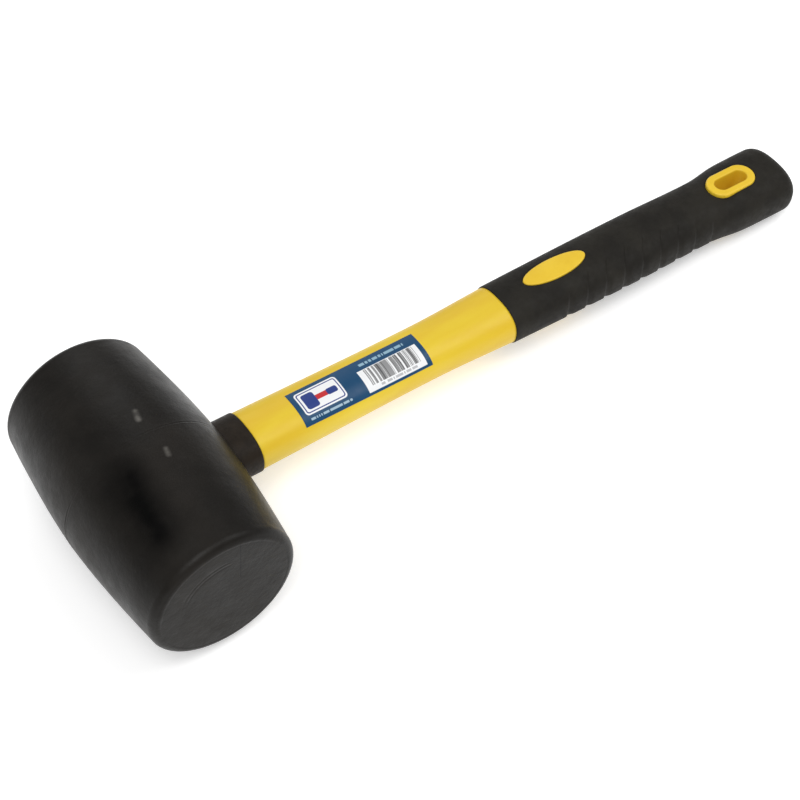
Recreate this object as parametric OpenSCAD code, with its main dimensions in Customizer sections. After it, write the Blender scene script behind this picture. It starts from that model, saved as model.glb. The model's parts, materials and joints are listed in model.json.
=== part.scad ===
// Rubber mallet with a jacketed fibreglass handle, lying on its side with the label up.
// The tool's own axes are: X along the handle from the head to the butt, Y along the head
// from striking face to striking face, Z square to the handle's flat side. The whole tool
// is then tipped until the head's belly and the butt both rest on Z = 0.

/* [Head] */
// Length of the head between its striking faces
head_len = 118; // [90:1:150]
// Diameter of the head at its belly
belly_d = 74; // [60:1:95]
// How far the radius falls from the belly to the shoulders
barrel_drop = 4.25; // [1:0.25:8]
// Exponent of the barrel curve, where 2 is a parabola
barrel_power = 1.65; // [1.2:0.05:2.5]
// Rounding where the side meets a striking face
face_edge_r = 4; // [1:0.5:8]

/* [Eye and tang] */
// Width of the tang across the handle
tang_w = 22; // [18:0.5:26]
// Thickness of the tang
tang_t = 15; // [13:0.5:18]
// Thickness of the adhesive round the tang and under its end
glue_gap = 0.5; // [0.2:0.1:1.5]
// Length of the tang below the collar's outer end
tang_len = 64; // [40:1:72]
// Diameter of the fibreglass core
core_d = 11; // [8:0.5:12]

/* [Collar] */
// Width of the collar
collar_w = 28.4; // [25:0.1:34]
// Thickness of the collar
collar_t = 20.7; // [18:0.1:26]
// How far the collar stands out of the head's belly
collar_proj = 9.3; // [5:0.1:20]
// How deep the collar is seated below the belly
collar_seat = 4; // [2:0.5:8]

/* [Shaft] */
// Length of shaft between the collar and the grip
shaft_len = 127.9; // [90:0.1:180]
// Width of the shaft at the collar
neck_w = 27.3; // [22:0.1:32]
// Width of the shaft at its waist
waist_w = 25.9; // [20:0.1:32]
// Width of the shaft where it enters the grip
shaft_end_w = 28.6; // [24:0.1:34]
// Distance from the waist to the grip
waist_back = 40; // [20:1:60]
// Thickness of the shaft at the collar over its width there
neck_flatness = 0.735; // [0.6:0.005:0.9]
// Thickness over width where the grip begins, and along the grip
grip_flatness = 0.71; // [0.6:0.005:0.9]
// Exponent of the oval section, where 2 is an ellipse
section_power = 2.4; // [2:0.1:4]

/* [Grip] */
// Length of the grip
grip_len = 162.9; // [135:0.5:200]
// Width of the grip at its front edge
grip_front_w = 29.6; // [27:0.1:36]
// Width of the grip at the palm
palm_w = 31.4; // [28:0.1:38]
// Width of the grip at the dip before the butt
dip_w = 30.6; // [27:0.1:38]
// Width of the grip at the butt
butt_w = 34.6; // [30:0.1:42]
// Rounding of the butt's end
butt_r = 7; // [4:0.5:9]
// Width of the jacket under the grip
under_w = 24.4; // [22:0.1:25]
// Thickness of the jacket under the grip
under_t = 16; // [14:0.1:17]
// Rubber between the jacket's end and the butt
butt_wall = 6; // [3:0.5:12]

/* [Finger grooves] */
// Number of finger grooves
groove_count = 9; // [3:1:9]
// Distance from the grip's front edge to the first groove
groove_start = 28.5; // [20:0.5:40]
// Distance from one groove to the next
groove_pitch = 10.4; // [8:0.1:12]
// Depth of a groove
groove_depth = 0.6; // [0.2:0.1:1.5]
// Width of a groove
groove_w = 4.6; // [1:0.1:5]

/* [Thumb inlays] */
// Length of an inlay
inlay_len = 33.4; // [20:0.1:40]
// Width of an inlay
inlay_w = 11.4; // [6:0.1:14]
// Distance from the grip's front edge to an inlay's centre
inlay_pos = 31.5; // [25:0.5:40]
// Offset of an inlay from the grip's centre line, away from the grooves
inlay_off = 1.3; // [-2:0.5:2]
// How far an inlay stands proud of the grip
inlay_proud = 0.3; // [0:0.05:0.6]
// Gap between an inlay and its window
inlay_gap = 0.1; // [0.05:0.05:0.3]

/* [Hang hole] */
// Length of the liner
liner_len = 25.5; // [20:0.1:30]
// Width of the liner
liner_w = 14; // [12:0.1:18]
// Length of the slot through the liner
slot_len = 17.5; // [12:0.1:20]
// Width of the slot through the liner
slot_w = 7; // [5:0.1:8]
// Distance from the slot's centre to the butt's end
slot_back = 29.8; // [24:0.5:40]
// Overall thickness of the liner
liner_t = 24.6; // [20:0.1:30]

/* [Label] */
// Length of the label
label_len = 63.5; // [40:0.5:90]
// Width of the label
label_w = 16.6; // [10:0.5:20]
// Distance from the collar to the label
label_pos = 21.8; // [5:0.1:40]
// Offset of the label from the shaft's centre line, towards the fingers
label_off = 3.2; // [0:0.1:5]
// Thickness of the label
label_t = 0.15; // [0.1:0.05:0.4]

/* [Hidden] */
$fn = 96;

eps = 1;
section_sides = 40;
belly_r = belly_d / 2;
shoulder_y = head_len / 2 - face_edge_r;
shoulder_r = belly_r - barrel_drop;
seat_x = belly_r - collar_seat;
collar_x = belly_r + collar_proj;
tang_x = collar_x - tang_len;
grip_x = collar_x + shaft_len;
butt_x = grip_x + grip_len;
waist_x = grip_x - waist_back;
under_x = butt_x - butt_wall;
slot_x = butt_x - slot_back;
core_x = slot_x - liner_len / 2 - 4;
inlay_x = grip_x + inlay_pos;
label_x = collar_x + label_pos;

// Stations along the handle: [x, width]
shaft_keys = [[collar_x, neck_w], [waist_x, waist_w], [grip_x, shaft_end_w]];
grip_keys = [
  [grip_x, grip_front_w],
  [grip_x + 36, grip_front_w + 0.75 * (palm_w - grip_front_w)],
  [grip_x + 74, palm_w],
  [butt_x - 50, dip_w],
  [butt_x - 34, dip_w + 0.82 * (butt_w - dip_w)],
  [butt_x - 17, butt_w],
  [butt_x, butt_w]
];

// Smooth curve through the stations, by cubic pieces with averaged slopes
function slope(keys, i) =
  let (a = max(i - 1, 0), b = min(i + 1, len(keys) - 1))
  (keys[b][1] - keys[a][1]) / (keys[b][0] - keys[a][0]);
function blend(p, q, m, n, t, h) =
  (2 * t ^ 3 - 3 * t ^ 2 + 1) * p + (t ^ 3 - 2 * t ^ 2 + t) * h * m
  + (3 * t ^ 2 - 2 * t ^ 3) * q + (t ^ 3 - t ^ 2) * h * n;
function piece(keys, x, i = 0) = i >= len(keys) - 2 || x < keys[i + 1][0] ? i : piece(keys, x, i + 1);
function width_at(keys, x) =
  let (i = piece(keys, x), h = keys[i + 1][0] - keys[i][0], t = (x - keys[i][0]) / h)
  blend(keys[i][1], keys[i + 1][1], slope(keys, i), slope(keys, i + 1), t, h);
function flatness_at(x) =
  let (t = min(max((x - collar_x) / (grip_x - collar_x), 0), 1))
  neck_flatness + (grip_flatness - neck_flatness) * t;

// Point of the oval section at angle a, where 0 is +Y and 90 is +Z
function oval_point(w, t, a) = [
  w / 2 * sign(cos(a)) * abs(cos(a)) ^ (2 / section_power),
  t / 2 * sign(sin(a)) * abs(sin(a)) ^ (2 / section_power)
];
function turn(j) = 360 * j / section_sides;
function ring(x, w, t) = [
  for (j = [0:section_sides - 1])
    let (p = oval_point(w, t, turn(j)))
      [x, p[0], p[1]]
];

// Tilt that lays the tool down until the belly and the handle both touch Z = 0
function touch_angle(x, h) = asin(belly_r / norm([x, h])) - atan2(h, x);
rest_tilt = min(concat(
  [for (x = [butt_x - 40:1:butt_x - butt_r]) touch_angle(x, width_at(grip_keys, x) * grip_flatness / 2)],
  [touch_angle(slot_x + liner_len / 2, liner_t / 2)]
));
front_x = -belly_r;
back_x = butt_x * cos(rest_tilt);

module lay_down() {
  translate([-(front_x + back_x) / 2, 0, belly_r]) rotate([0, rest_tilt, 0]) children();
}

// Solid between rings that all have the same number of points
module skin(rings) {
  n = len(rings[0]);
  m = len(rings);
  sides = [
    for (k = [0:m - 2], j = [0:n - 1])
      let (a = k * n + j, b = k * n + (j + 1) % n)
      each [[a, a + n, b], [b, a + n, b + n]]
  ];
  start_cap = [[for (j = [0:n - 1]) j]];
  end_cap = [[for (j = [n - 1:-1:0]) (m - 1) * n + j]];
  polyhedron(points = [for (r = rings) each r], faces = concat(start_cap, sides, end_cap), convexity = 6);
}

// Flat shape in the Y-Z plane, extruded along the handle
module along_handle(x0, x1) {
  translate([x0, 0, 0]) rotate([90, 0, 90]) linear_extrude(x1 - x0) children();
}

// Flat shape in the X-Y plane, extruded through the handle's thickness
module through_handle(z0, z1) {
  translate([0, 0, z0]) linear_extrude(z1 - z0) children();
}

module stadium(w, t) {
  translate([(t - w) / 2, 0]) circle(d = t);
  translate([(w - t) / 2, 0]) circle(d = t);
  square([w - t, t], center = true);
}

module ellipse(w, h) {
  polygon([for (a = [0:7.5:352.5]) [w / 2 * cos(a), h / 2 * sin(a)]]);
}

module oval(w, t) {
  polygon([for (j = [0:section_sides - 1]) oval_point(w, t, turn(j))]);
}

// Head
function barrel_r(y) = belly_r - barrel_drop * (abs(y) / shoulder_y) ^ barrel_power;
module barrel() {
  steps = 14;
  side = [for (i = [-steps:steps]) [barrel_r(shoulder_y * i / steps), shoulder_y * i / steps]];
  top_edge = [
    for (a = [15:15:90])
      [shoulder_r - face_edge_r * (1 - cos(a)), shoulder_y + face_edge_r * sin(a)]
  ];
  low_edge = [for (p = top_edge) [p[0], -p[1]]];
  outline = concat(
    [[0, -head_len / 2]],
    [for (i = [len(low_edge) - 1:-1:0]) low_edge[i]],
    side,
    top_edge,
    [[0, head_len / 2]]
  );
  rotate([90, 0, 0]) rotate_extrude() polygon(outline);
}

module rubber_head() {
  color("#2b2a28") lay_down() difference() {
    barrel();
    along_handle(tang_x - glue_gap, belly_r) stadium(tang_w + 2 * glue_gap, tang_t + 2 * glue_gap);
    along_handle(seat_x, belly_r + eps) oval(collar_w, collar_t);
  }
}

module eye_adhesive() {
  color("#b08a4a") lay_down() difference() {
    along_handle(tang_x - glue_gap, seat_x) stadium(tang_w + 2 * glue_gap, tang_t + 2 * glue_gap);
    along_handle(tang_x, seat_x + eps) stadium(tang_w, tang_t);
  }
}

module neck_collar() {
  color("#2c2623") lay_down() along_handle(seat_x, collar_x) difference() {
    oval(collar_w, collar_t);
    stadium(tang_w, tang_t);
  }
}

// Handle
module fibreglass_core() {
  color("#c9c6b4") lay_down() along_handle(tang_x, core_x) circle(d = core_d);
}

module shaft_skin(grow = 0) {
  steps = 18;
  xs = [for (i = [0:steps]) collar_x + shaft_len * i / steps];
  skin([for (x = xs)
    let (w = width_at(shaft_keys, x))
    ring(x, w + 2 * grow, w * flatness_at(x) + 2 * grow)
  ]);
}

module under_grip() {
  along_handle(grip_x, under_x) stadium(under_w, under_t);
}

module liner_block(z0, z1) {
  translate([slot_x, 0, 0]) through_handle(z0, z1) stadium(liner_len, liner_w);
}

module shaft_jacket() {
  color("#e8c94a") lay_down() difference() {
    union() {
      along_handle(tang_x, collar_x) stadium(tang_w, tang_t);
      shaft_skin();
      under_grip();
    }
    along_handle(tang_x - eps, core_x) circle(d = core_d);
    liner_block(-under_t, under_t);
  }
}

// Grip
function smooth(t) = let (u = min(max(t, 0), 1)) u * u * (3 - 2 * u);

// Distance round the section from the middle of the finger side, up to a limit
finger_reach = 16;
function finger_dist(p) = min(norm([(p[0] + palm_w / 2) * 1.15, p[1]]), finger_reach);

// Share of a groove's width on its steep side, which is the side nearer the head
groove_steep = 0.25;

// The grooves bow towards the butt as they run round on to the flats
groove_bow = 38;
function bow_at(x) = min(smooth((x - grip_x) / groove_start), smooth((butt_x - butt_r - 2 - x) / 36));

// The grooves stop on a curved line across each flat, given by its Y
groove_mid_x = grip_x + groove_start + groove_pitch * (groove_count - 1) / 2;
function groove_limit(x) = -3.5 - 0.0045 * (x - groove_mid_x) ^ 2;
function groove_fade(x, y) = smooth((groove_limit(x) - y) / 3);

function bowed_ring(x, w, t, depth) = [
  for (j = [0:section_sides - 1])
    let (
      p = oval_point(w, t, turn(j)),
      xb = x + bow_at(x) * finger_dist(p) ^ 2 / groove_bow,
      cut = depth * groove_fade(xb, p[0]),
      q = oval_point(w - 2 * cut, t - 2 * cut, turn(j))
    )
    [xb, q[0], q[1]]
];

function grip_ring(x, grow, depth) =
  let (w = width_at(grip_keys, x))
  bowed_ring(x, w + 2 * grow, w * grip_flatness + 2 * grow, depth);

module grip_skin(grow = 0, depth = 0) {
  groove_xs = [for (i = [0:groove_count - 1]) grip_x + groove_start + groove_pitch * i];
  front = [[0, -0.4, 0], [0.4, 0, 0], [5, 0, 0], [10, 0, 0], [15, 0, 0], [20, 0, 0]];
  grooves = [for (x = groove_xs) each [
    [x - grip_x - groove_w * groove_steep, 0, 0], [x - grip_x, 0, 1],
    [x - grip_x + groove_w * (1 - groove_steep), 0, 0], [x - grip_x + groove_pitch / 2, 0, 0]
  ]];
  last = grip_x + groove_start + groove_pitch * (groove_count - 0.5);
  gap = butt_x - butt_r - last;
  back = [for (i = [1:4]) [last + gap * i / 4 - grip_x, 0, 0]];
  end = [for (a = [22.5:22.5:90]) [grip_len - butt_r + butt_r * sin(a), -butt_r * (1 - cos(a)), 0]];
  stations = concat(front, grooves, back, end);
  skin([for (s = stations) grip_ring(grip_x + s[0], s[1] + grow, s[2] * depth)]);
}

module inlay_block(side, grow) {
  z0 = side > 0 ? 0 : -butt_w;
  translate([inlay_x, inlay_off, 0]) through_handle(z0, z0 + butt_w)
    ellipse(inlay_len + 2 * grow, inlay_w + 2 * grow);
}

module grip_sleeve() {
  color("#2f2d29") lay_down() difference() {
    grip_skin(0, groove_depth);
    under_grip();
    inlay_block(1, inlay_gap);
    inlay_block(-1, inlay_gap);
    liner_block(-butt_w, butt_w);
  }
}

module thumb_inlay(side) {
  color("#e7c43d") lay_down() difference() {
    intersection() {
      grip_skin(inlay_proud, 0);
      inlay_block(side, 0);
    }
    under_grip();
  }
}

module thumb_inlay_top() {
  thumb_inlay(1);
}

module thumb_inlay_bottom() {
  thumb_inlay(-1);
}

module hang_hole_liner() {
  color("#e9c542") lay_down() difference() {
    liner_block(-liner_t / 2, liner_t / 2);
    translate([slot_x, 0, 0]) through_handle(-liner_t, liner_t) stadium(slot_len, slot_w);
  }
}

// Label
module shaft_label() {
  color("#224e6b") lay_down() intersection() {
    difference() {
      shaft_skin(label_t);
      shaft_skin();
    }
    translate([label_x, -label_off - label_w / 2, 0]) cube([label_len, label_w, neck_w]);
  }
}

rubber_head();
eye_adhesive();
neck_collar();
fibreglass_core();
shaft_jacket();
grip_sleeve();
thumb_inlay_top();
thumb_inlay_bottom();
hang_hole_liner();
shaft_label();
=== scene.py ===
"""Looks of a rubber mallet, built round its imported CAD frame. The scene's unit is the metre."""

import bisect
import json
import math

import bpy
from mathutils import Matrix, Vector, noise
from mathutils.bvhtree import BVHTree


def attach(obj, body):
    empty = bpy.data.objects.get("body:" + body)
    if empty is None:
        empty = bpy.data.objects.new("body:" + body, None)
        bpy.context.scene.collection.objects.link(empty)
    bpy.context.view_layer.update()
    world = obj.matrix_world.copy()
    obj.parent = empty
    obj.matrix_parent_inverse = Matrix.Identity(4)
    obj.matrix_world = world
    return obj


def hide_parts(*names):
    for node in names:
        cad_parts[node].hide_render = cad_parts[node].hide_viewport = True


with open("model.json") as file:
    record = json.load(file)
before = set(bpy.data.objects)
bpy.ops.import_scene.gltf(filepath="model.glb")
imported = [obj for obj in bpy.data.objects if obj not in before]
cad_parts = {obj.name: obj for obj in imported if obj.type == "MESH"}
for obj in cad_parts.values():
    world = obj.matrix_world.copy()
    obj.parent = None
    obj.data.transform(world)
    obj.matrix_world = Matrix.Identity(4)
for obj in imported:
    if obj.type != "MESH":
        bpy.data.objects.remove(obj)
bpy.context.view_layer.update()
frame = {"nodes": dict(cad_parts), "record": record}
scene = bpy.context.scene

# ---------------------------------------------------------------- the tool's own axes
# Shapes are written in millimetres along the tool: X from the head to the butt, Y along the
# head, Z square to the flat of the handle. TOOL lays them down where the CAD nodes lie.
MM = 0.001
mounts = {m["name"]: m for m in frame["record"]["mounts"]}
face_at, slot_axis = mounts["striking_face_near"]["pos_m"], mounts["hang_slot"]["axis"]
head_centre = Vector((face_at[0], 0, face_at[2]))
TILT = math.atan2(slot_axis[0], slot_axis[2])
TURN = Matrix.Rotation(TILT, 4, "Y")
TOOL = Matrix.Translation(head_centre) @ TURN @ Matrix.Scale(MM, 4)

# Driving sizes in millimetres, the same as in the part's source
HEAD_LEN, BELLY_R, BARREL_DROP, BARREL_POWER, EDGE_R = 118.0, 37.0, 4.25, 1.65, 4.0
TANG_W, TANG_T, TANG_LEN, GLUE_GAP, CORE_D = 22.0, 15.0, 64.0, 0.5, 11.0
COLLAR_W, COLLAR_T, COLLAR_PROJ, COLLAR_SEAT = 28.4, 20.7, 9.3, 4.0
SHAFT_LEN, NECK_W, WAIST_W, SHAFT_END_W, WAIST_BACK = 127.9, 27.3, 25.9, 28.6, 40.0
NECK_FLAT, GRIP_FLAT, POWER = 0.735, 0.71, 2.4
GRIP_LEN, FRONT_W, PALM_W, DIP_W, BUTT_W, BUTT_R = 162.9, 29.6, 31.4, 30.6, 34.6, 7.0
UNDER_W, UNDER_T, BUTT_WALL = 24.4, 16.0, 6.0
GROOVES, GROOVE_START, GROOVE_PITCH = 9, 28.5, 10.4
GROOVE_DEPTH, GROOVE_W, GROOVE_STEEP = 0.6, 4.6, 0.25
INLAY_LEN, INLAY_W, INLAY_POS, INLAY_Y, INLAY_PROUD = 33.4, 11.4, 31.5, 1.3, 0.3
LINER_LEN, LINER_W, LINER_T = 25.5, 14.0, 24.6
SLOT_LEN, SLOT_W, SLOT_BACK, CORE_SHORT = 17.5, 7.0, 29.8, 4.0
LABEL_LEN, LABEL_W, LABEL_POS, LABEL_OFF, LABEL_T = 63.5, 16.6, 21.8, 3.2, 0.15

# Places along the tool that follow from them
SEAT_X = BELLY_R - COLLAR_SEAT
COLLAR_X = BELLY_R + COLLAR_PROJ
TANG_X = COLLAR_X - TANG_LEN
LABEL_X = COLLAR_X + LABEL_POS
GRIP_X = COLLAR_X + SHAFT_LEN
WAIST_X = GRIP_X - WAIST_BACK
INLAY_X = GRIP_X + INLAY_POS
BUTT_X = GRIP_X + GRIP_LEN
UNDER_X = BUTT_X - BUTT_WALL
SLOT_X = BUTT_X - SLOT_BACK
CORE_X = SLOT_X - LINER_LEN / 2 - CORE_SHORT

# Stations along the handle, as (x, width)
SHAFT_KEYS = [(COLLAR_X, NECK_W), (WAIST_X, WAIST_W), (GRIP_X, SHAFT_END_W)]
GRIP_KEYS = [
    (GRIP_X, FRONT_W),
    (GRIP_X + 36, FRONT_W + 0.75 * (PALM_W - FRONT_W)),
    (GRIP_X + 74, PALM_W),
    (BUTT_X - 50, DIP_W),
    (BUTT_X - 34, DIP_W + 0.82 * (BUTT_W - DIP_W)),
    (BUTT_X - 17, BUTT_W),
    (BUTT_X, BUTT_W),
]


# ---------------------------------------------------------------- camera
# Fitted to the photo: the place in millimetres and the angles in degrees, in the tool's axes
SENSOR, IMAGE_SIDE, FOCAL_PIXELS = 36.0, 800, 1884.7
CAMERA_AT = Vector((-196.95, -409.23, 607.36))
CAMERA_AZ, CAMERA_EL, CAMERA_ROLL = (math.radians(a) for a in (-38.13, 50.56, 3.94))


def make_camera():
    back = Vector((
        math.sin(CAMERA_AZ) * math.cos(CAMERA_EL),
        -math.cos(CAMERA_AZ) * math.cos(CAMERA_EL),
        math.sin(CAMERA_EL),
    ))
    level = (-back).cross(Vector((0, 0, 1))).normalized()
    rise = level.cross(-back)
    c, s = math.cos(CAMERA_ROLL), math.sin(CAMERA_ROLL)
    axes = Matrix((c * level + s * rise, -s * level + c * rise, back)).transposed().to_4x4()
    camera = bpy.data.cameras.new("camera")
    camera.sensor_width = SENSOR
    camera.lens = SENSOR * FOCAL_PIXELS / IMAGE_SIDE
    camera.clip_start, camera.clip_end = 0.05, 20
    holder = bpy.data.objects.new("camera", camera)
    scene.collection.objects.link(holder)
    holder.matrix_world = Matrix.Translation(TOOL @ CAMERA_AT) @ TURN @ axes
    scene.camera = holder


make_camera()


# ---------------------------------------------------------------- shapes shared with the part
TRACE = 720  # points on a closed curve before they are spaced evenly


def smooth(t):
    """0 to 1 as t goes from 0 to 1, eased at both ends."""
    u = min(max(t, 0.0), 1.0)
    return u * u * (3 - 2 * u)


def bell(away, width):
    """1 at no distance, falling off over the width to either side."""
    return math.exp(-((away / width) ** 2))


def turns(n):
    return [math.tau * k / n for k in range(n)]


def quarter(steps):
    """Shares and angles of a quarter turn, both ends included."""
    return [(k / steps, math.pi / 2 * k / steps) for k in range(steps + 1)]


def width_at(keys, x):
    """Width at x on the smooth curve through the stations."""
    def slope(i):
        a, b = max(i - 1, 0), min(i + 1, len(keys) - 1)
        return (keys[b][1] - keys[a][1]) / (keys[b][0] - keys[a][0])

    i = min(max(bisect.bisect_right([k[0] for k in keys], x) - 1, 0), len(keys) - 2)
    h = keys[i + 1][0] - keys[i][0]
    t = (x - keys[i][0]) / h
    p, q, m, n = keys[i][1], keys[i + 1][1], slope(i) * h, slope(i + 1) * h
    return ((2 * t**3 - 3 * t**2 + 1) * p + (t**3 - 2 * t**2 + t) * m
            + (3 * t**2 - 2 * t**3) * q + (t**3 - t**2) * n)


def shaft_size(x, grow=0.0):
    """Width and thickness of the shaft at x, with its surface moved out by grow."""
    w = width_at(SHAFT_KEYS, x)
    t = min(max((x - COLLAR_X) / (GRIP_X - COLLAR_X), 0), 1)
    return w + 2 * grow, w * (NECK_FLAT + (GRIP_FLAT - NECK_FLAT) * t) + 2 * grow


def grip_size(x, grow=0.0):
    w = width_at(GRIP_KEYS, x)
    return w + 2 * grow, w * GRIP_FLAT + 2 * grow


def height_at(size, y):
    """Half thickness of an oval section at y."""
    w, t = size
    return t / 2 * max(0.0, 1 - abs(2 * y / w) ** POWER) ** (1 / POWER)


def even(points, n):
    """n points at equal spacing round a closed outline."""
    loop = points + points[:1]
    at = [0.0]
    for a, b in zip(loop, loop[1:]):
        at.append(at[-1] + math.dist(a, b))
    out = []
    for k in range(n):
        d = at[-1] * k / n
        i = min(bisect.bisect_right(at, d) - 1, len(points) - 1)
        f = (d - at[i]) / (at[i + 1] - at[i])
        out.append(tuple(p + f * (q - p) for p, q in zip(loop[i], loop[i + 1])))
    return out


def oval(size, n):
    """Oval section from +Y round by +Z, with even spacing."""
    w, t = size
    dense = []
    for a in turns(TRACE):
        c, s = math.cos(a), math.sin(a)
        dense.append((
            w / 2 * math.copysign(abs(c) ** (2 / POWER), c),
            t / 2 * math.copysign(abs(s) ** (2 / POWER), s),
        ))
    return even(dense, n)


def stadium(length, width, n):
    """Stadium outline with its length along the first axis, from +first round by +second."""
    r, c = width / 2, (length - width) / 2
    dense = [(c + r, 0.0)]
    for k in range(TRACE):
        a = math.tau * (k + 0.5) / TRACE
        side = c if math.cos(a) > 0 else -c
        dense.append((side + r * math.cos(a), r * math.sin(a)))
    return even(dense, n)


# ---------------------------------------------------------------- mesh code
CLEAR = 0.02  # keeps two surfaces out of one plane


def skin(rings, wrap=False):
    """Quads between rings of equal length, which end in caps or wrap round to the first ring.

    Rings run from +Y round by +Z as X grows, or from +X round by +Y as Z grows.
    """
    n, m = len(rings[0]), len(rings)
    points = [p for ring in rings for p in ring]
    faces = []
    for k in range(m if wrap else m - 1):
        a, b = k * n, (k + 1) % m * n
        for j in range(n):
            i = (j + 1) % n
            faces.append((a + j, a + i, b + i, b + j))
    if not wrap:
        faces.append(tuple(range(n - 1, -1, -1)))
        faces.append(tuple(range((m - 1) * n, m * n)))
    return points, faces


def ring_at(x, outline):
    return [(x, *p) for p in outline]


def bar(outline, start, end):
    """A cutter with that outline across X, from start to end."""
    return skin([ring_at(x, outline) for x in (start, end)])


def post(outline, at_x, at_y, low, high):
    """A cutter with that outline across Z, from low to high."""
    return skin([[(at_x + x, at_y + y, z) for x, y in outline] for z in (low, high)])


def mesh_from(name, points, faces):
    mesh = bpy.data.meshes.new(name)
    mesh.from_pydata([Vector(p) for p in points], [], faces)
    mesh.validate()
    mesh.update()
    return mesh


def cut(mesh, cutters):
    """The mesh with each cutter taken out of it, all still in millimetres."""
    work = bpy.data.objects.new("work", mesh)
    scene.collection.objects.link(work)
    tools = []
    for points, faces in cutters:
        tool = bpy.data.objects.new("tool", mesh_from("tool", points, faces))
        scene.collection.objects.link(tool)
        step = work.modifiers.new("cut", "BOOLEAN")
        step.operation, step.solver, step.object = "DIFFERENCE", "EXACT", tool
        tools.append(tool)
    shown = work.evaluated_get(bpy.context.evaluated_depsgraph_get())
    result = bpy.data.meshes.new_from_object(shown)
    for o in [work] + tools:
        bpy.data.objects.remove(o)
    return result


def surface_normals(mesh, source, near=0.002, alike=0.6):
    """Corner normals that follow the uncut surface wherever the cut mesh still lies on it."""
    corners = [p.vertices for p in source.polygons]
    tree = BVHTree.FromPolygons([v.co for v in source.vertices], corners)
    found = {}

    def normal_at(i):
        if i not in found:
            at, _, face, away = tree.find_nearest(mesh.vertices[i].co)
            total = None
            if away is not None and away < near:
                total = Vector((0, 0, 0))
                for v in source.polygons[face].vertices:
                    gap = (source.vertices[v].co - at).length
                    total += source.vertices[v].normal / (gap + 1e-4)
                total.normalize()
            found[i] = total
        return found[i]

    out = [c.vector.copy() for c in mesh.corner_normals]
    for p in mesh.polygons:
        for corner in p.loop_indices:
            n = normal_at(mesh.loops[corner].vertex_index)
            if n is not None and n.dot(p.normal) > alike:
                out[corner] = n
    return out


def add_piece(name, mesh, material, node, sharp=35.0, source=None):
    """Lays a mesh down as a piece that stands for a CAD node."""
    mesh.shade_smooth()
    mesh.set_sharp_from_angle(angle=math.radians(sharp))
    normals = surface_normals(mesh, source) if source else None
    mesh.transform(TOOL)
    if normals:
        turn = TURN.to_3x3()
        mesh.normals_split_custom_set([(turn @ n).normalized() for n in normals])
    mesh.materials.clear()
    mesh.materials.append(material)
    piece = bpy.data.objects.new(name, mesh)
    scene.collection.objects.link(piece)
    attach(piece, "root")
    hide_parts(node)
    return piece


# ---------------------------------------------------------------- materials
class Shader:
    """A procedural material, built node by node round one Principled shader."""

    def __init__(self, name, **sockets):
        self.material = bpy.data.materials.new(name)
        self.material.use_nodes = True
        self.tree = self.material.node_tree
        self.surface = self.tree.nodes["Principled BSDF"]
        for key, value in sockets.items():
            self.surface.inputs[key.replace("_", " ")].default_value = value
        self.place = self.add("ShaderNodeTexCoord").outputs["Object"]

    def feed(self, socket, value):
        if isinstance(value, bpy.types.NodeSocket):
            self.tree.links.new(value, socket)
        else:
            socket.default_value = value

    def add(self, kind, inputs=None, **settings):
        node = self.tree.nodes.new(kind)
        for key, value in settings.items():
            setattr(node, key, value)
        for key, value in (inputs or {}).items():
            self.feed(node.inputs[key], value)
        return node

    def math(self, operation, *values):
        node = self.add("ShaderNodeMath", operation=operation)
        for k, value in enumerate(values):
            self.feed(node.inputs[k], value)
        return node.outputs[0]

    def noise(self, scale, detail=2.0, roughness=0.5, place=None):
        """Noise whose scale is in waves per metre, unless place is stretched."""
        inputs = {"Vector": place or self.place, "Scale": scale}
        inputs.update(Detail=detail, Roughness=roughness)
        return self.add("ShaderNodeTexNoise", inputs).outputs["Fac"]

    def spread(self, value, low, high, to_low=0.0, to_high=1.0):
        """Maps low..high to to_low..to_high, clamped and eased."""
        inputs = {0: value, 1: low, 2: high, 3: to_low, 4: to_high}
        return self.add("ShaderNodeMapRange", inputs, interpolation_type="SMOOTHSTEP").outputs[0]

    def mix(self, share, a, b):
        """Colour a where share is 0 and colour b where it is 1."""
        # A Mix node has its colour sockets after those for numbers and vectors
        return self.add("ShaderNodeMix", {0: share, 6: a, 7: b}, data_type="RGBA").outputs[2]

    def stretch(self, factors):
        """The object's own place times a factor along each axis."""
        inputs = {0: self.place, 1: factors}
        return self.add("ShaderNodeVectorMath", inputs, operation="MULTIPLY").outputs[0]

    def stroke(self, u, v, start, end, reach):
        """1 on a line in the plane of u and v, falling to 0 at reach from it."""
        run = (end[0] - start[0], end[1] - start[1])
        size = run[0] ** 2 + run[1] ** 2
        du, dv = self.math("SUBTRACT", u, start[0]), self.math("SUBTRACT", v, start[1])
        share = self.math("MULTIPLY", du, run[0] / size)
        share = self.math("ADD", share, self.math("MULTIPLY", dv, run[1] / size))
        share = self.math("MINIMUM", self.math("MAXIMUM", share, 0.0), 1.0)
        du = self.math("SUBTRACT", du, self.math("MULTIPLY", share, run[0]))
        dv = self.math("SUBTRACT", dv, self.math("MULTIPLY", share, run[1]))
        away = self.math("ADD", self.math("MULTIPLY", du, du), self.math("MULTIPLY", dv, dv))
        return self.spread(self.math("SQRT", away), 0, reach, 1, 0)

    def bump(self, height, distance, under=None):
        """Relief that rises by distance, in metres, where height is 1, over the relief under it."""
        inputs = {"Height": height, "Distance": distance, "Strength": 1.0}
        if under is not None:
            inputs["Normal"] = under
        return self.add("ShaderNodeBump", inputs).outputs[0]

    def finish(self, **sockets):
        for key, value in sockets.items():
            self.feed(self.surface.inputs[key.replace("_", " ")], value)
        return self.material


def rgb(r, g, b):
    return (r, g, b, 1.0)


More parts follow.
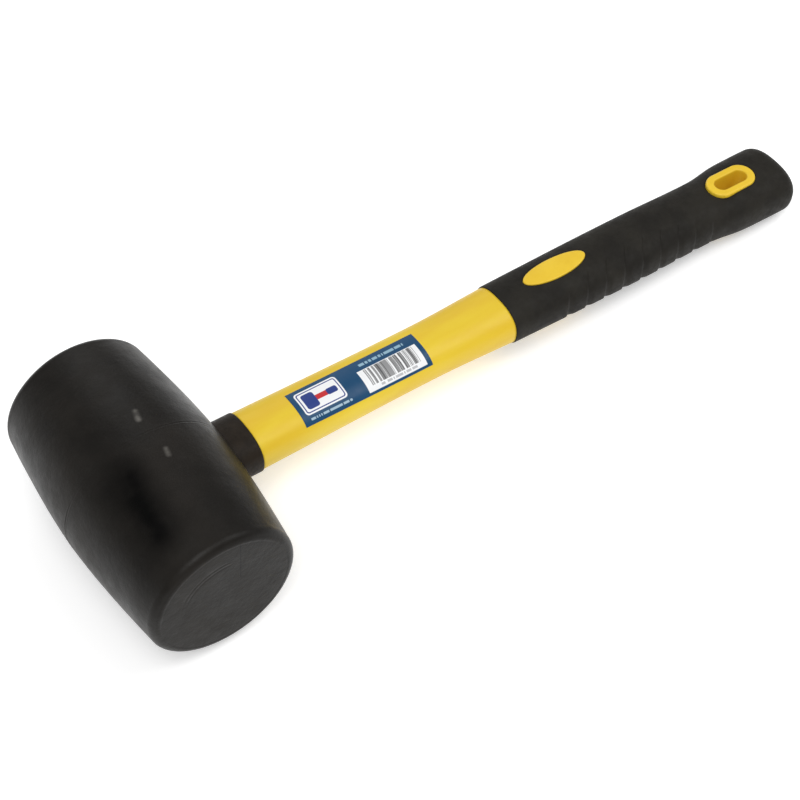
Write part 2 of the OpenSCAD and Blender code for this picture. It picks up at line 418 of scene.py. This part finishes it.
# Marks on the head: a painted dark reflection along the top, a real scratch on a striking face and
# two scuffs painted as bright as glints; the two ends of each in millimetres, and its reach to
# either side
DARK_REFLECTION_LINE = (-14.6, -13), (-16.2, -39), 14
SCRATCH = (7.4, 27.7), (6.9, 7.1), 0.45
# Two scuffs on the barrel top, painted as bright as the glints on them
LONG_SCUFF_GLINT = (3.6, 11.6), (2.6, 7.2), 1.9
SHORT_SCUFF_GLINT = (4.4, -10.6), (3.7, -13.6), 1.7


def head_rubber():
    """Satin moulded rubber, cloudy, with a painted dark reflection and scuffs painted as glints on
    top, and a scratched face.
    """
    s = Shader("head_rubber", Specular_IOR_Level=0.18)
    lay = {
        "Vector": s.place,
        "Location": head_centre,
        "Rotation": (0, TILT, 0),
        "Scale": (MM, MM, MM),
    }
    tool = s.add("ShaderNodeMapping", lay, vector_type="TEXTURE").outputs[0]
    x, y, z = s.add("ShaderNodeSeparateXYZ", {0: tool}).outputs
    face_y = HEAD_LEN / 2
    top = s.spread(z, 10, 20)
    near_face = s.spread(y, 0.3 - face_y, 0.7 - face_y, 1, 0)
    faces = s.spread(s.math("ABSOLUTE", y), face_y - 0.8, face_y - 0.3, 0, 0.55)

    # Painted shade: a dark reflection drawn as a darker, less reflective streak along the top of
    # the barrel
    painted_reflection_shade = s.math("MULTIPLY", top, s.stroke(x, y, *DARK_REFLECTION_LINE))
    painted_reflection_shade = s.math("MULTIPLY", painted_reflection_shade, s.spread(s.noise(70, 3, 0.5), 0.3, 0.6, 0.7, 1))
    scratch = s.math("MULTIPLY", near_face, s.stroke(x, z, *SCRATCH))
    # One mask for the painted dark reflection and the real scratch on the face
    reflection_shade_and_scratch = s.math("MAXIMUM", painted_reflection_shade, scratch)
    # Painted highlights: scuff marks drawn pale, as glints
    faint_scuff_glint = s.math("MULTIPLY", s.stroke(x, y, *SHORT_SCUFF_GLINT), 0.7)
    scuff_glints = s.math("MULTIPLY", top, s.math("MAXIMUM", s.stroke(x, y, *LONG_SCUFF_GLINT), faint_scuff_glint))
    scuff_glints = s.math("MULTIPLY", scuff_glints, s.spread(s.noise(260, 3), 0.3, 0.6, 0.2, 0.6))

    clouds, patches = s.noise(28, 4, 0.6), s.noise(150, 5, 0.65)
    dark, light = rgb(0.0062, 0.0052, 0.0040), rgb(0.0118, 0.0098, 0.0076)
    colour = s.mix(s.spread(clouds, 0.35, 0.68), dark, light)
    colour = s.mix(s.spread(patches, 0.6, 0.8, 0, 0.3), colour, rgb(0.026, 0.024, 0.021))
    # Painted shade: the dark reflection streak, and the scratch, darken the colour
    colour = s.mix(reflection_shade_and_scratch, colour, rgb(0.0012, 0.0011, 0.0010))
    # Painted glints: pale colour on the scuffs
    colour = s.mix(scuff_glints, colour, rgb(0.17, 0.16, 0.145))
    worn = s.spread(patches, 0.3, 0.75, 0, 0.1)
    rough = s.math("ADD", s.spread(clouds, 0.3, 0.7, 0.30, 0.42), worn)
    # Painted shade: the dark reflection streak and the scratch also dim the reflections; the
    # striking faces reflect less
    tint = s.mix(s.math("MAXIMUM", reflection_shade_and_scratch, faces), rgb(1, 1, 1), rgb(0.28, 0.28, 0.28))
    wave = s.bump(s.noise(55, 2, 0.4), 0.0006)
    skin_marks = s.bump(s.noise(420, 4, 0.65), 0.00012, under=wave)
    grain = s.bump(s.noise(2600, 2, 0.5), 0.00003, under=skin_marks)
    return s.finish(Base_Color=colour, Roughness=rough, Specular_Tint=tint, Normal=grain)


def soft_grip():
    """Matt soft-touch rubber with a fine spark-eroded grain."""
    s = Shader("grip_rubber", Specular_IOR_Level=0.2)
    dark, light = rgb(0.0096, 0.0082, 0.0060), rgb(0.0162, 0.0142, 0.0104)
    colour = s.mix(s.spread(s.noise(60, 4, 0.6), 0.35, 0.65), dark, light)
    rough = s.spread(s.noise(300, 4, 0.6), 0.3, 0.7, 0.56, 0.7)
    marks = s.bump(s.noise(700, 4, 0.6), 0.00010)
    grain = s.bump(s.noise(3200, 2, 0.6), 0.00004, under=marks)
    return s.finish(Base_Color=colour, Roughness=rough, Normal=grain)


def collar_plastic():
    """Hard black plastic with a warm cast and fine marks."""
    s = Shader("collar_plastic", Specular_IOR_Level=0.16)
    dark, light = rgb(0.0100, 0.0066, 0.0036), rgb(0.0190, 0.0130, 0.0078)
    colour = s.mix(s.spread(s.noise(200, 4, 0.6), 0.3, 0.7), dark, light)
    rough = s.spread(s.noise(500, 4, 0.6), 0.3, 0.7, 0.42, 0.56)
    marks = s.bump(s.noise(900, 4, 0.6), 0.00012)
    return s.finish(Base_Color=colour, Roughness=rough, Normal=marks)


def yellow_plastic(name, deep, light, rough=0.36, flow=(12, 60, 60)):
    """Satin polypropylene: slow colour drift along the flow, faint orange peel, fine specks."""
    s = Shader(name, Specular_IOR_Level=0.38)
    drift = s.noise(1, 3, 0.55, s.stretch(flow))
    colour = s.mix(s.spread(drift, 0.3, 0.7), deep, light)
    specks = s.spread(s.noise(900, 3, 0.7), 0.62, 0.75, 0, 0.12)
    colour = s.mix(specks, colour, rgb(0.62, 0.42, 0.05))
    rough_map = s.spread(s.noise(650, 3, 0.6), 0.3, 0.7, rough - 0.04, rough + 0.08)
    peel = s.bump(s.noise(420, 2, 0.5), 0.00006)
    grain = s.bump(s.noise(2400, 2, 0.6), 0.000015, under=peel)
    return s.finish(Base_Color=colour, Roughness=rough_map, Normal=grain)


def glass_fibre():
    """Pultruded rod: long pale fibres in resin."""
    s = Shader("fibreglass", Roughness=0.35)
    lines = s.noise(1, 3, 0.6, s.stretch((25, 2600, 2600)))
    colour = s.mix(s.spread(lines, 0.35, 0.65), rgb(0.42, 0.40, 0.31), rgb(0.72, 0.70, 0.60))
    return s.finish(Base_Color=colour, Normal=s.bump(lines, 0.00004))


def amber_epoxy():
    """Cloudy brown resin."""
    s = Shader("adhesive", Roughness=0.3)
    clouds = s.noise(260, 4, 0.6)
    colour = s.mix(s.spread(clouds, 0.3, 0.7), rgb(0.33, 0.20, 0.06), rgb(0.48, 0.33, 0.13))
    return s.finish(Base_Color=colour, Normal=s.bump(clouds, 0.00008))


BLUE, FADED_BLUE, NAVY = rgb(0.003, 0.055, 0.14), rgb(0.006, 0.066, 0.155), rgb(0.02, 0.045, 0.22)
WHITE, RED, INK = rgb(0.86, 0.87, 0.88), rgb(0.55, 0.025, 0.03), rgb(0.014, 0.014, 0.016)


def printed_film(length, width):
    """Blue film printed in millimetres across and down from its upper left corner."""
    s = Shader("label_film", Specular_IOR_Level=0.35)
    uv = s.add("ShaderNodeUVMap", uv_map="print").outputs[0]
    split = s.add("ShaderNodeSeparateXYZ", {0: uv})
    across = s.math("MULTIPLY", split.outputs[0], length)
    down = s.math("MULTIPLY", split.outputs[1], width)
    soft = 0.04  # half the width over which an edge of the print fades

    def panel(x0, x1, y0, y1, r=0.01):
        """1 inside a rectangle with corners rounded by r."""
        dx = s.math("ABSOLUTE", s.math("SUBTRACT", across, (x0 + x1) / 2))
        dy = s.math("ABSOLUTE", s.math("SUBTRACT", down, (y0 + y1) / 2))
        dx = s.math("MAXIMUM", s.math("SUBTRACT", dx, (x1 - x0) / 2 - r), 0.0)
        dy = s.math("MAXIMUM", s.math("SUBTRACT", dy, (y1 - y0) / 2 - r), 0.0)
        away = s.math("ADD", s.math("MULTIPLY", dx, dx), s.math("MULTIPLY", dy, dy))
        return s.spread(s.math("SQRT", away), r - soft, r + soft, 1, 0)

    def cells(size, share, seed):
        """1 in a random share of the cells of that size along the label."""
        cell = s.math("ADD", s.math("FLOOR", s.math("DIVIDE", across, size)), seed)
        pick = s.add("ShaderNodeTexWhiteNoise", {"W": cell}, noise_dimensions="1D")
        return s.math("LESS_THAN", pick.outputs["Value"], share)

    def both(a, b):
        return s.math("MULTIPLY", a, b)

    colour = s.mix(s.spread(s.noise(90, 2), 0.3, 0.7, 0, 0.25), BLUE, FADED_BLUE)
    layers = [
        # The badge is a mallet in a frame
        (panel(2.4, 22.8, 1.9, 13.6, 1.6), WHITE),
        (panel(3.1, 22.1, 2.6, 12.9, 1.1), NAVY),
        (panel(3.6, 21.6, 3.1, 12.4, 0.8), WHITE),
        (panel(9.5, 20.6, 6.5, 9.0, 0.7), RED),
        (panel(15.6, 20.6, 6.2, 9.3, 0.9), NAVY),
        (panel(4.6, 10.4, 3.9, 11.6, 1.2), NAVY),
        # Lines of dashes where the maker's words would be
        (both(panel(3.4, 23.6, 15.0, 16.0, 0.2), cells(0.55, 0.72, 3)), rgb(0.36, 0.50, 0.60)),
        (both(panel(34.6, 57.6, 2.4, 3.8, 0.2), cells(0.6, 0.72, 40)), rgb(0.27, 0.44, 0.55)),
        # Bars that encode nothing
        (panel(31.8, 61.2, 5.7, 16.6, 0.1), WHITE),
        (both(panel(34.6, 59.0, 6.0, 14.2), cells(0.26, 0.52, 11)), INK),
        (both(panel(35.6, 58.0, 6.0, 14.2), cells(0.85, 0.3, 63)), INK),
        (both(panel(37.0, 56.6, 14.8, 15.8), cells(0.6, 0.65, 90)), rgb(0.32, 0.32, 0.34)),
    ]
    for mask, paint in layers:
        colour = s.mix(mask, colour, paint)
    rough = s.spread(s.noise(400, 3), 0.3, 0.7, 0.3, 0.42)
    return s.finish(Base_Color=colour, Roughness=rough, Normal=s.bump(s.noise(250, 2), 0.00003))


# ---------------------------------------------------------------- head
SHOULDER_Y = HEAD_LEN / 2 - EDGE_R
SHOULDER_R = BELLY_R - BARREL_DROP
HEAD_INSET, FACE_INSET, SEAT_GAP = 0.12, 0.02, 0.12
# The moulded surface is slightly uneven, apart from the middle of a striking face
WAVE_DEPTH, WAVE_SIZE, WAVE_INSET, CALM_R, CALM_FADE = 0.05, 16.0, 0.03, 20, 8
RINGS_R, RING_W, RING_DEPTH = (18.4, 20.2), 0.4, 0.1


def barrel_r(y):
    return BELLY_R - BARREL_DROP * (abs(y) / SHOULDER_Y) ** BARREL_POWER


def parting(y, a):
    """Height of the mould's parting line over the barrel, rubbed away on the upper left."""
    worn_at, worn_reach, fade = math.radians(122), 0.5, 0.3
    kept = 0.1 + 0.9 * smooth((abs(a - worn_at) - worn_reach) / fade)
    ridges, groove = 0.04 * bell(abs(y) - 0.62, 0.3), 0.09 * bell(y, 0.26)
    return kept * (1 - 0.5 * math.cos(a)) * (ridges - groove)


def face_dent(r, a):
    """Depth of the two turning marks on a striking face, plain over an upper arc only."""
    plain_at, plain_reach, fade = math.radians(118), 0.75, 0.3
    kept = 0.12 + 0.88 * smooth((plain_reach - abs(a - plain_at)) / fade)
    return kept * sum(RING_DEPTH * bell(r - at, RING_W) for at in RINGS_R)


def face_profile():
    """Half a profile, from the centre of a striking face to the shoulder, as (radius, y)."""
    flat = SHOULDER_R - EDGE_R
    plain = [0, 2, 4, 7, 10, 13, 15.5, 17, 17.6]
    marked = [18, 18.4, 18.8, 19.3, 19.8, 20.2, 20.6, 21.2]
    rim = [22.5, 25, 27, 28, 28.5]
    out = []
    for r in plain + marked + rim:
        lip = 0.05 * bell(r - flat + 0.25, 0.5)
        out.append((r, HEAD_LEN / 2 - FACE_INSET - lip))
    for share, a in quarter(12):
        out.append((
            flat + EDGE_R * math.sin(a) - HEAD_INSET * share,
            SHOULDER_Y + EDGE_R * math.cos(a) - FACE_INSET * (1 - share),
        ))
    return out


def make_head(material):
    sides = 240
    near_line = [0, 0.12, 0.24, 0.36, 0.5, 0.62, 0.74, 0.9, 1.1, 1.4, 1.8, 2.3, 3]
    half = near_line + list(range(4, int(SHOULDER_Y)))
    ys = sorted({side * y for y in half for side in (1, -1)})
    edge = face_profile()
    profile = [(r, -y) for r, y in edge]
    profile += [(barrel_r(y) - HEAD_INSET, y) for y in ys]
    profile += [(r, y) for r, y in reversed(edge)]
    points, faces = [], []
    for r, y in profile[1:-1]:
        for a in turns(sides):
            out = r + parting(y, a)
            along = y - math.copysign(face_dent(r, a), y)
            p = Vector((out * math.cos(a), along, out * math.sin(a)))
            wave = WAVE_DEPTH * noise.noise(p / WAVE_SIZE) * smooth((r - CALM_R) / CALM_FADE)
            points.append(p * (1 + (wave - WAVE_INSET) / BELLY_R))
    last = (len(profile) - 3) * sides
    for a in range(0, last, sides):
        b = a + sides
        for j in range(sides):
            i = (j + 1) % sides
            faces.append((a + i, a + j, b + j, b + i))
    centre = len(points)
    points += [Vector((0, profile[0][1], 0)), Vector((0, profile[-1][1], 0))]
    for j in range(sides):
        i = (j + 1) % sides
        faces.append((centre, j, i))
        faces.append((centre + 1, last + i, last + j))
    source = mesh_from("rubber_head", points, faces)
    eye = stadium(TANG_W + 2 * GLUE_GAP + 2 * CLEAR, TANG_T + 2 * GLUE_GAP + 2 * CLEAR, 96)
    seat = oval((COLLAR_W + 2 * SEAT_GAP, COLLAR_T + 2 * SEAT_GAP), 160)
    mesh = cut(source.copy(), [
        bar(eye, TANG_X - GLUE_GAP - CLEAR, SEAT_X + 1),
        bar(seat, SEAT_X - CLEAR, BELLY_R + 2),
    ])
    return add_piece("rubber_head_moulded", mesh, material, "rubber_head",
                     source=source)


# ---------------------------------------------------------------- collar
def make_collar(material):
    n, round_r = 160, 0.7
    bore, outside = stadium(TANG_W, TANG_T, n), oval((COLLAR_W, COLLAR_T), n)
    rings = [ring_at(x, bore) for x in (COLLAR_X - 0.05, SEAT_X)]
    rings += [ring_at(SEAT_X + along, outside) for along in (0, 1.5, 3, 4.5, 6, 8, 10, 11.5)]
    for _, a in quarter(8):
        inset = round_r * (1 - math.cos(a))
        x = COLLAR_X - round_r + round_r * math.sin(a)
        rings.append(ring_at(x, oval((COLLAR_W - 2 * inset, COLLAR_T - 2 * inset), n)))
    mesh = mesh_from("neck_collar", *skin(rings, wrap=True))
    return add_piece("neck_collar_moulded", mesh, material, "neck_collar")


# ---------------------------------------------------------------- shaft
SEAM_H, SEAM_W = 0.05, 0.35  # the mould's seam along both edges of the shaft


def liner_tool(grow, reach):
    """A cutter of the liner's outline moved out by grow, from -reach to reach in Z."""
    outline = stadium(LINER_LEN + 2 * grow, LINER_W + 2 * grow, 128)
    return post(outline, SLOT_X, 0, -reach, reach)


def make_shaft(material):
    n, steps, rounded = 160, 128, 0.4
    bore = [(CORE_D / 2 * math.cos(a), CORE_D / 2 * math.sin(a)) for a in turns(n)]
    tang, under = stadium(TANG_W, TANG_T, n), stadium(UNDER_W, UNDER_T, n)
    rings = [ring_at(x, bore) for x in (CORE_X, TANG_X)]
    rings += [ring_at(x, tang) for x in (TANG_X, COLLAR_X + CLEAR)]
    # Stations from the collar on, as (distance, inset)
    step = (GRIP_X - COLLAR_X - rounded) / steps
    stations = [(0.02, 0.35), (0.15, 0.12)]
    stations += [(rounded + step * k, 0.0) for k in range(steps + 1)]
    for along, inset in stations:
        x = COLLAR_X + along
        ring = []
        for y, z in oval(shaft_size(x, -inset), n):
            seam = SEAM_H * bell(z, SEAM_W)
            ring.append((x, y + math.copysign(seam, y), z))
        rings.append(ring)
    rings += [ring_at(x, under) for x in (GRIP_X, UNDER_X)]
    source = mesh_from("shaft_jacket", *skin(rings))
    mesh = cut(source.copy(), [liner_tool(CLEAR, UNDER_T)])
    return add_piece("shaft_jacket_moulded", mesh, material, "shaft_jacket",
                     source=source)


# ---------------------------------------------------------------- grip
GROOVE_MID_X = GRIP_X + GROOVE_START + GROOVE_PITCH * (GROOVES - 1) / 2
# Sections bow towards the butt with their distance from the fingers' side, so grooves do too
FINGER_REACH, REACH_STRETCH, GROOVE_BOW, BUTT_FADE = 16.0, 1.15, 38.0, 36.0
# Where the grooves run out: Y at the middle one, how that falls away from it, and the fade
GROOVE_TOP, GROOVE_TOP_FALL, GROOVE_FADE = -3.5, 0.0045, 3.0
WINDOW_GAP, WINDOW_ROLL, WINDOW_ROLL_W = 0.18, 0.28, 0.9
LINER_GAP, LINER_ROLL, LINER_ROLL_W = 0.12, 0.3, 1.0
ROLL_Z = 5.0  # the edges roll only on the flat sides, further out than this
GRIP_INSET = 0.03


def bow_at(x):
    """Share of the full bow of the sections, which straighten out at both ends of the grip."""
    to_butt = BUTT_X - BUTT_R - 2 - x
    return min(smooth((x - GRIP_X) / GROOVE_START), smooth(to_butt / BUTT_FADE))


def groove_fade(x, y):
    """1 on the fingers' side, 0 past the line where the grooves run out."""
    limit = GROOVE_TOP - GROOVE_TOP_FALL * (x - GROOVE_MID_X) ** 2
    return smooth((limit - y) / GROOVE_FADE)


def groove_profile(along):
    """Share of the full depth at a distance along the grip."""
    i = min(max(round((along - GROOVE_START) / GROOVE_PITCH), 0), GROOVES - 1)
    d = along - GROOVE_START - GROOVE_PITCH * i
    share = -d / (GROOVE_W * GROOVE_STEEP) if d < 0 else d / (GROOVE_W * (1 - GROOVE_STEEP))
    return 1 - smooth(share)


def edge_roll(x, y):
    """How far the rubber rolls down at the edge of the inlay's window and of the liner."""
    a, b = INLAY_LEN / 2, INLAY_W / 2
    u, v = (x - INLAY_X) / a, (y - INLAY_Y) / b
    rho = math.hypot(u, v)
    roll = 0.0
    if 0.8 < rho < 1.4:
        away = (rho - 1) * rho / math.hypot(u / a, v / b)
        roll = WINDOW_ROLL * (1 - smooth(away / WINDOW_ROLL_W))
    straight = (LINER_LEN - LINER_W) / 2
    away = math.hypot(max(abs(x - SLOT_X) - straight, 0), y) - LINER_W / 2
    if -1 < away < 1.2:
        roll = max(roll, LINER_ROLL * (1 - smooth(away / LINER_ROLL_W)))
    return roll


def make_grip(material):
    n, step = 200, GROOVE_PITCH / 20
    # Stations from the grip's front on, as (distance, growth)
    stations = [(0.0, -0.4), (0.06, -0.25), (0.16, -0.13), (0.3, -0.04)]
    stations += [(x, 0.0) for x in (0.5, 0.9, 1.4, 1.9)]
    first = GROOVE_START - 50 * step
    steps = int((GRIP_LEN - GRIP_INSET - BUTT_R - first) / step)
    stations += [(first + step * k, 0.0) for k in range(steps + 1)]
    for _, a in quarter(16):
        end = GRIP_LEN - GRIP_INSET - BUTT_R + BUTT_R * math.sin(a)
        stations.append((end, -BUTT_R * (1 - math.cos(a))))
    under = stadium(UNDER_W, UNDER_T, n)
    rings = [ring_at(x, under) for x in (UNDER_X, GRIP_X)]
    for along, grow in stations:
        x = GRIP_X + along
        bow, depth = bow_at(x), GROOVE_DEPTH * groove_profile(along)
        size = grip_size(x, grow - GRIP_INSET)
        ring = []
        for y, z in oval(size, n):
            reach = min(math.hypot((y + PALM_W / 2) * REACH_STRETCH, z), FINGER_REACH)
            xb = x + bow * reach**2 / GROOVE_BOW
            inset = depth * groove_fade(xb, y)
            roll = 1 - (edge_roll(xb, y) if abs(z) > ROLL_Z else 0.0) / math.hypot(y, z)
            ring.append((xb, y * (1 - 2 * inset / size[0]), z * (1 - 2 * inset / size[1]) * roll))
        rings.append(ring)
    source = mesh_from("grip_sleeve", *skin(rings))
    a, b = INLAY_LEN / 2 + WINDOW_GAP, INLAY_W / 2 + WINDOW_GAP
    window = even([(a * math.cos(t), b * math.sin(t)) for t in turns(TRACE)], 160)
    floor = UNDER_T / 2 - 1
    mesh = cut(source.copy(), [
        liner_tool(LINER_GAP, BUTT_W),
        post(window, INLAY_X, INLAY_Y, floor, BUTT_W),
        post(window, INLAY_X, INLAY_Y, -BUTT_W, -floor),
    ])
    return add_piece("grip_sleeve_moulded", mesh, material, "grip_sleeve",
                     sharp=50, source=source)


# ---------------------------------------------------------------- inlays
def make_inlay(side, name, node, material):
    """A domed oval with a rounded edge, on the upper side of the grip or, at -1, the lower."""
    n, edge = 128, 0.45
    a, b = INLAY_LEN / 2, INLAY_W / 2
    shares = [0.1, 0.22, 0.36, 0.5, 0.62, 0.73, 0.82, 0.88]
    shares += [0.92, 0.945, 0.96, 0.972, 0.982, 0.99, 0.996, 1.0]
    points = [(INLAY_X, INLAY_Y, height_at(grip_size(INLAY_X, INLAY_PROUD), INLAY_Y))]
    for share in shares:
        away, drop = (1 - share) * b, 0.0
        if away < edge:
            drop = edge * (1 - math.sqrt(max(0.0, 1 - (1 - away / edge) ** 2)))
        for t in turns(n):
            x, y = INLAY_X + share * a * math.cos(t), INLAY_Y + share * b * math.sin(t)
            points.append((x, y, height_at(grip_size(x, INLAY_PROUD), y) - drop))
    for t in turns(n):
        points.append((INLAY_X + a * math.cos(t), INLAY_Y + b * math.sin(t), UNDER_T / 2))
    last = 1 + len(shares) * n
    faces = [(0, 1 + j, 1 + (j + 1) % n) for j in range(n)]
    for k in range(1, last, n):
        for j in range(n):
            i = (j + 1) % n
            faces.append((k + j, k + n + j, k + n + i, k + i))
    faces.append(tuple(last + j for j in range(n - 1, -1, -1)))
    if side < 0:
        points = [(x, y, -z) for x, y, z in points]
        faces = [tuple(reversed(f)) for f in faces]
    mesh = mesh_from(node, points, faces)
    return add_piece(name, mesh, material, node, sharp=60)


# ---------------------------------------------------------------- liner
def make_liner(material):
    """A slotted tube through the butt, with rounded edges inside and out."""
    n, out_r, in_r, land = 144, 0.9, 0.8, 1.5
    half = LINER_T / 2
    # Half of the section, as (length, width, inset, z), then its mirror image
    section = []
    for _, a in quarter(8):
        z = half - out_r + out_r * math.sin(a)
        section.append((LINER_LEN, LINER_W, out_r * (1 - math.cos(a)), z))
    for share in (0.35, 0.65):
        section.append((LINER_LEN, LINER_W, out_r + share * land, half))
    for _, a in quarter(8):
        z = half - in_r + in_r * math.cos(a)
        section.append((SLOT_LEN, SLOT_W, -in_r * (1 - math.sin(a)), z))
    section += [(SLOT_LEN, SLOT_W, 0.0, z) for z in (9, 6, 3)]
    section += [(length, width, inset, -z) for length, width, inset, z in reversed(section)]
    section += [(LINER_LEN, LINER_W, 0.0, z) for z in (-6, 0, 6)]
    rings = []
    for length, width, inset, z in section:
        outline = stadium(length - 2 * inset, width - 2 * inset, n)
        rings.append([(SLOT_X + x, y, z) for x, y in outline])
    mesh = mesh_from("hang_hole_liner", *skin(rings, wrap=True))
    return add_piece("hang_hole_liner_moulded", mesh, material, "hang_hole_liner")


# ---------------------------------------------------------------- label
FILM_INSET = 0.01


def make_label():
    """A film over the shaft, with a UV map that unrolls its upper face."""
    columns, rows, samples = 64, 48, 400
    film_t = LABEL_T - FILM_INSET
    upper, lower = LABEL_W / 2 - LABEL_OFF, -LABEL_W / 2 - LABEL_OFF
    size = shaft_size(LABEL_X + LABEL_LEN / 2, film_t)
    fine = [upper + (lower - upper) * k / samples for k in range(samples + 1)]
    along = [0.0]
    for p, q in zip(fine, fine[1:]):
        along.append(along[-1] + math.dist((p, height_at(size, p)), (q, height_at(size, q))))
    width = along[-1]
    ys = []
    for k in range(rows + 1):
        d = width * k / rows
        i = min(bisect.bisect_right(along, d) - 1, samples - 1)
        f = (d - along[i]) / (along[i + 1] - along[i])
        ys.append(fine[i] + f * (fine[i + 1] - fine[i]))
    points = []
    for grow in (film_t, FILM_INSET):
        for i in range(columns + 1):
            x = LABEL_X + LABEL_LEN * i / columns
            for y in ys:
                points.append((x, y, height_at(shaft_size(x, grow), y)))
    layer = (columns + 1) * (rows + 1)

    def at(i, j, low=0):
        """Index of the point in column i and row j of the upper face, or of the lower one."""
        return low * layer + i * (rows + 1) + j

    faces = []
    for i in range(columns):
        for j in range(rows):
            faces.append((at(i, j), at(i, j + 1), at(i + 1, j + 1), at(i + 1, j)))
            faces.append((at(i, j, 1), at(i + 1, j, 1), at(i + 1, j + 1, 1), at(i, j + 1, 1)))
    for i in range(columns):
        faces.append((at(i, 0), at(i + 1, 0), at(i + 1, 0, 1), at(i, 0, 1)))
        faces.append((at(i, rows), at(i, rows, 1), at(i + 1, rows, 1), at(i + 1, rows)))
    for j in range(rows):
        faces.append((at(0, j), at(0, j, 1), at(0, j + 1, 1), at(0, j + 1)))
        faces.append((at(columns, j), at(columns, j + 1), at(columns, j + 1, 1), at(columns, j, 1)))
    mesh = mesh_from("shaft_label", points, faces)
    uv = mesh.uv_layers.new(name="print")
    for loop in mesh.loops:
        k = loop.vertex_index % layer
        uv.data[loop.index].uv = (k // (rows + 1) / columns, k % (rows + 1) / rows)
    film = printed_film(LABEL_LEN, width)
    return add_piece("shaft_label_printed", mesh, film, "shaft_label")


# ---------------------------------------------------------------- build
JACKET_YELLOWS = rgb(0.735, 0.48, 0.019), rgb(0.80, 0.59, 0.034)
INSERT_YELLOWS = rgb(0.78, 0.51, 0.024), rgb(0.84, 0.57, 0.034)
make_head(head_rubber())
make_collar(collar_plastic())
make_shaft(yellow_plastic("yellow_jacket", *JACKET_YELLOWS))
make_grip(soft_grip())
insert = yellow_plastic("yellow_insert", *INSERT_YELLOWS, rough=0.34, flow=(60, 60, 60))
make_inlay(1, "thumb_inlay_top_domed", "thumb_inlay_top", insert)
make_inlay(-1, "thumb_inlay_bottom_domed", "thumb_inlay_bottom", insert)
make_liner(insert)
make_label()
frame["nodes"]["fibreglass_core"].material_slots[0].material = glass_fibre()
frame["nodes"]["eye_adhesive"].material_slots[0].material = amber_epoxy()


# ---------------------------------------------------------------- studio
def pale_floor():
    """A floor so wide and bright that no view shows its edge."""
    s = Shader("floor", Roughness=0.8, Emission_Color=rgb(1, 1, 1), Emission_Strength=0.36)
    colour = s.mix(s.noise(3, 2), rgb(0.90, 0.90, 0.90), rgb(0.93, 0.93, 0.93))
    reach = 9.0
    corners = [(-reach, -reach, 0), (reach, -reach, 0), (reach, reach, 0), (-reach, reach, 0)]
    mesh = mesh_from("floor", corners, [(0, 1, 2, 3)])
    mesh.materials.append(s.finish(Base_Color=colour))
    floor = bpy.data.objects.new("floor", mesh)
    scene.collection.objects.link(floor)


def softbox(name, at, size, power):
    """A rectangular light that points at the middle of the tool."""
    light = bpy.data.lights.new(name, "AREA")
    light.shape, light.size, light.size_y, light.energy = "RECTANGLE", size[0], size[1], power
    holder = bpy.data.objects.new(name, light)
    scene.collection.objects.link(holder)
    holder.location = at
    holder.rotation_euler = (-Vector(at)).to_track_quat("-Z", "Y").to_euler()


pale_floor()
softbox("key", at=(-0.5, -0.6, 1.55), size=(0.8, 0.8), power=12)
softbox("fill", at=(0.95, -0.4, 1.35), size=(1.0, 1.0), power=7.5)
softbox("back", at=(0.3, 1.15, 1.05), size=(0.9, 0.7), power=2.6)
scene.world = bpy.data.worlds.new("studio")
scene.world.use_nodes = True
sky = scene.world.node_tree.nodes["Background"]
sky.inputs["Color"].default_value = rgb(1, 1, 1)
sky.inputs["Strength"].default_value = 0.45
scene.view_settings.view_transform = "Standard"
